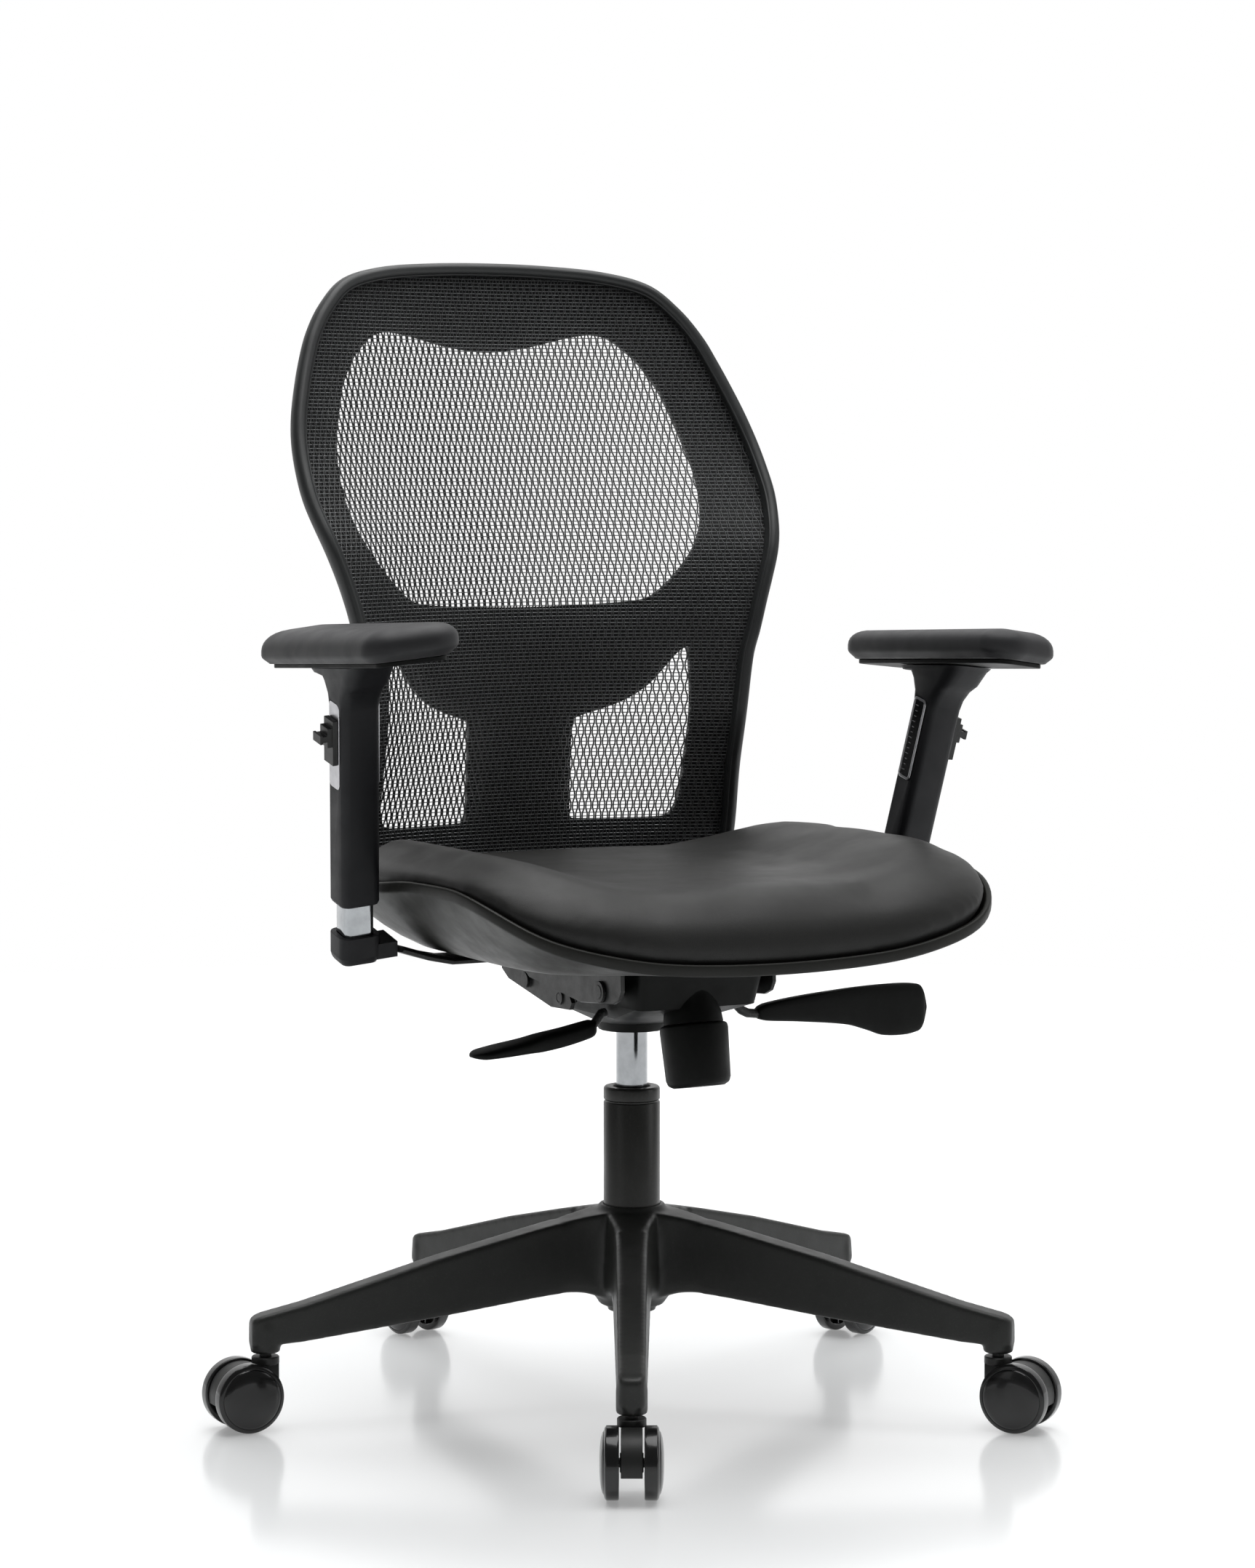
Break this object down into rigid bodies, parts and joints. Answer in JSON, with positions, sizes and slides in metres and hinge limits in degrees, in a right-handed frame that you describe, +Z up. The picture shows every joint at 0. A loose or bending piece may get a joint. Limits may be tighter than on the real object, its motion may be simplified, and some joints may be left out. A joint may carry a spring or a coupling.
{
  "type": "swivel office chair",
  "caption": "Mesh-back task chair with padded seat, height-adjustable armrests, tilt mechanism, gas column and a star base on twin-wheel casters.",
  "frame": {"origin": "on the floor, on the swivel axis of the gas column", "axes": "+Z up, the seat faces -Y, the sitter's left is +X"},
  "size_m": [0.7331, 0.7313, 1.017],
  "materials": {
    "base_nylon": "fine texture",
    "black_plastic": "satin",
    "wheel_black": "semi gloss",
    "dark_steel": "satin black",
    "chrome": "polished",
    "seat_vinyl": "smooth vinyl",
    "seat_shell_plastic": "fine texture",
    "arm_plastic": "satin",
    "arm_pad_soft": "soft matt",
    "satin_silver": "satin",
    "back_mesh_fabric": "open weave"
  },
  "bodies": {
    "base": {"base_star": "base_nylon", "gas_column": "black_plastic", "column_collar": "black_plastic"},
    "caster_1": {"caster_fork_1": "black_plastic", "caster_axle_1": "dark_steel"},
    "wheel_1a": {"caster_wheel_1a": "wheel_black"},
    "wheel_1b": {"caster_wheel_1b": "wheel_black"},
    "caster_2": {"caster_fork_2": "black_plastic", "caster_axle_2": "dark_steel"},
    "wheel_2a": {"caster_wheel_2a": "wheel_black"},
    "wheel_2b": {"caster_wheel_2b": "wheel_black"},
    "caster_3": {"caster_fork_3": "black_plastic", "caster_axle_3": "dark_steel"},
    "wheel_3a": {"caster_wheel_3a": "wheel_black"},
    "wheel_3b": {"caster_wheel_3b": "wheel_black"},
    "caster_4": {"caster_fork_4": "black_plastic", "caster_axle_4": "dark_steel"},
    "wheel_4a": {"caster_wheel_4a": "wheel_black"},
    "wheel_4b": {"caster_wheel_4b": "wheel_black"},
    "caster_5": {"caster_fork_5": "black_plastic", "caster_axle_5": "dark_steel"},
    "wheel_5a": {"caster_wheel_5a": "wheel_black"},
    "wheel_5b": {"caster_wheel_5b": "wheel_black"},
    "lift": {"piston_rod": "chrome"},
    "mechanism": {"tilt_housing": "base_nylon", "front_pivot_pin": "dark_steel", "rear_pivot_pin": "dark_steel"},
    "knob": {"tension_knob": "black_plastic"},
    "lift_lever": {"lift_lever_rod": "dark_steel", "lift_lever_paddle": "black_plastic"},
    "tilt_lever": {"tilt_lever_rod": "dark_steel", "tilt_lever_paddle": "black_plastic"},
    "seat": {"seat_carrier": "dark_steel", "seat_shell": "seat_shell_plastic", "seat_cushion": "seat_vinyl", "arm_bracket_left": "dark_steel", "arm_cup_left": "black_plastic", "arm_tube_left": "chrome", "arm_bracket_right": "dark_steel", "arm_cup_right": "black_plastic", "arm_tube_right": "chrome"},
    "arm_left": {"arm_sleeve_left": "arm_plastic", "arm_slot_trim_left": "satin_silver", "arm_window_left": "satin_silver", "arm_pad_base_left": "black_plastic", "arm_pad_left": "arm_pad_soft"},
    "button_left": {"arm_button_left": "black_plastic"},
    "arm_right": {"arm_sleeve_right": "arm_plastic", "arm_slot_trim_right": "satin_silver", "arm_window_right": "satin_silver", "arm_pad_base_right": "black_plastic", "arm_pad_right": "arm_pad_soft"},
    "button_right": {"arm_button_right": "black_plastic"},
    "back": {"back_bracket": "dark_steel", "back_upright": "dark_steel", "back_panel": "black_plastic", "back_mesh": "back_mesh_fabric", "back_rim": "black_plastic", "back_bolt_1": "dark_steel", "back_bolt_2": "dark_steel"}
  },
  "joints": [
    {"name": "caster_swivel_1", "type": "hinge", "parent": "base", "child": "caster_1", "pos_m": [-0.15633, -0.29402, 0.06], "axis": [0, 0, 1], "continuous": true},
    {"name": "wheel_spin_1a", "type": "hinge", "parent": "caster_1", "child": "wheel_1a", "pos_m": [-0.16619, -0.31256, 0.03], "axis": [0.8829, -0.4695, 0], "continuous": true},
    {"name": "wheel_spin_1b", "type": "hinge", "parent": "caster_1", "child": "wheel_1b", "pos_m": [-0.16619, -0.31256, 0.03], "axis": [0.8829, -0.4695, 0], "continuous": true},
    {"name": "caster_swivel_2", "type": "hinge", "parent": "base", "child": "caster_2", "pos_m": [0.23132, -0.23954, 0.06], "axis": [0, 0, 1], "continuous": true},
    {"name": "wheel_spin_2a", "type": "hinge", "parent": "caster_2", "child": "wheel_2a", "pos_m": [0.24337, -0.25674, 0.03], "axis": [0.8192, 0.5736, 0], "continuous": true},
    {"name": "wheel_spin_2b", "type": "hinge", "parent": "caster_2", "child": "wheel_2b", "pos_m": [0.24337, -0.25674, 0.03], "axis": [0.8192, 0.5736, 0], "continuous": true},
    {"name": "caster_swivel_3", "type": "hinge", "parent": "base", "child": "caster_3", "pos_m": [0.2993, 0.14598, 0.06], "axis": [0, 0, 1], "continuous": true},
    {"name": "wheel_spin_3a", "type": "hinge", "parent": "caster_3", "child": "wheel_3a", "pos_m": [0.31817, 0.15518, 0.03], "axis": [-0.4384, 0.8988, 0], "continuous": true},
    {"name": "wheel_spin_3b", "type": "hinge", "parent": "caster_3", "child": "wheel_3b", "pos_m": [0.31817, 0.15518, 0.03], "axis": [-0.4384, 0.8988, 0], "continuous": true},
    {"name": "caster_swivel_4", "type": "hinge", "parent": "base", "child": "caster_4", "pos_m": [-0.04634, 0.32976, 0.06], "axis": [0, 0, 1], "continuous": true},
    {"name": "wheel_spin_4a", "type": "hinge", "parent": "caster_4", "child": "wheel_4a", "pos_m": [-0.04927, 0.35056, 0.03], "axis": [-0.9903, -0.1392, 0], "continuous": true},
    {"name": "wheel_spin_4b", "type": "hinge", "parent": "caster_4", "child": "wheel_4b", "pos_m": [-0.04927, 0.35056, 0.03], "axis": [-0.9903, -0.1392, 0], "continuous": true},
    {"name": "caster_swivel_5", "type": "hinge", "parent": "base", "child": "caster_5", "pos_m": [-0.32794, 0.05783, 0.06], "axis": [0, 0, 1], "continuous": true},
    {"name": "wheel_spin_5a", "type": "hinge", "parent": "caster_5", "child": "wheel_5a", "pos_m": [-0.34894, 0.05819, 0.03], "axis": [-0.0175, -0.9998, 0], "continuous": true},
    {"name": "wheel_spin_5b", "type": "hinge", "parent": "caster_5", "child": "wheel_5b", "pos_m": [-0.34894, 0.05819, 0.03], "axis": [-0.0175, -0.9998, 0], "continuous": true},
    {"name": "gas_lift", "type": "slide", "parent": "base", "child": "lift", "axis": [0, 0, 1], "range_m": [-0.045, 0.06]},
    {"name": "seat_swivel", "type": "hinge", "parent": "lift", "child": "mechanism", "pos_m": [0, 0, 0.34], "axis": [0, 0, 1], "continuous": true},
    {"name": "seat_tilt", "type": "hinge", "parent": "mechanism", "child": "seat", "pos_m": [0, -0.087, 0.38], "axis": [-1, 0, 0], "range_deg": [0, 6], "stiffness_Nm_per_rad": 150, "springref_deg": -20.05},
    {"name": "back_recline", "type": "hinge", "parent": "mechanism", "child": "back", "pos_m": [0, 0.002, 0.3645], "axis": [-1, 0, 0], "range_deg": [0, 14.4], "stiffness_Nm_per_rad": 60, "springref_deg": -22.92},
    {"name": "tension_knob_turn", "type": "hinge", "parent": "mechanism", "child": "knob", "pos_m": [0, -0.118, 0.324], "axis": [0, 0.1908, 0.9816], "range_deg": [-360, 360]},
    {"name": "lift_lever_pull", "type": "hinge", "parent": "mechanism", "child": "lift_lever", "pos_m": [0.057, -0.034, 0.3555], "axis": [0, -1, 0], "range_deg": [0, 6], "stiffness_Nm_per_rad": 2, "springref_deg": -8.59},
    {"name": "tilt_lever_flip", "type": "hinge", "parent": "mechanism", "child": "tilt_lever", "pos_m": [-0.0575, -0.06, 0.358], "axis": [0, 1, 0], "range_deg": [0, 6]},
    {"name": "arm_height_left", "type": "slide", "parent": "seat", "child": "arm_left", "axis": [0.1026, -0.2303, 0.9677], "range_m": [-0.01, 0.065]},
    {"name": "arm_button_left_slide", "type": "slide", "parent": "arm_left", "child": "button_left", "axis": [0.1026, -0.2303, 0.9677], "range_m": [0, 0.006], "stiffness_N_per_m": 300, "springref_m": -0.003},
    {"name": "arm_height_right", "type": "slide", "parent": "seat", "child": "arm_right", "axis": [-0.1026, -0.2303, 0.9677], "range_m": [-0.026, 0.049]},
    {"name": "arm_button_right_slide", "type": "slide", "parent": "arm_right", "child": "button_right", "axis": [-0.1026, -0.2303, 0.9677], "range_m": [0, 0.006], "stiffness_N_per_m": 300, "springref_m": -0.003}
  ],
  "couplings": [
    {"joint": "back_recline", "follows": "seat_tilt", "ratio": 2.4}
  ]
}
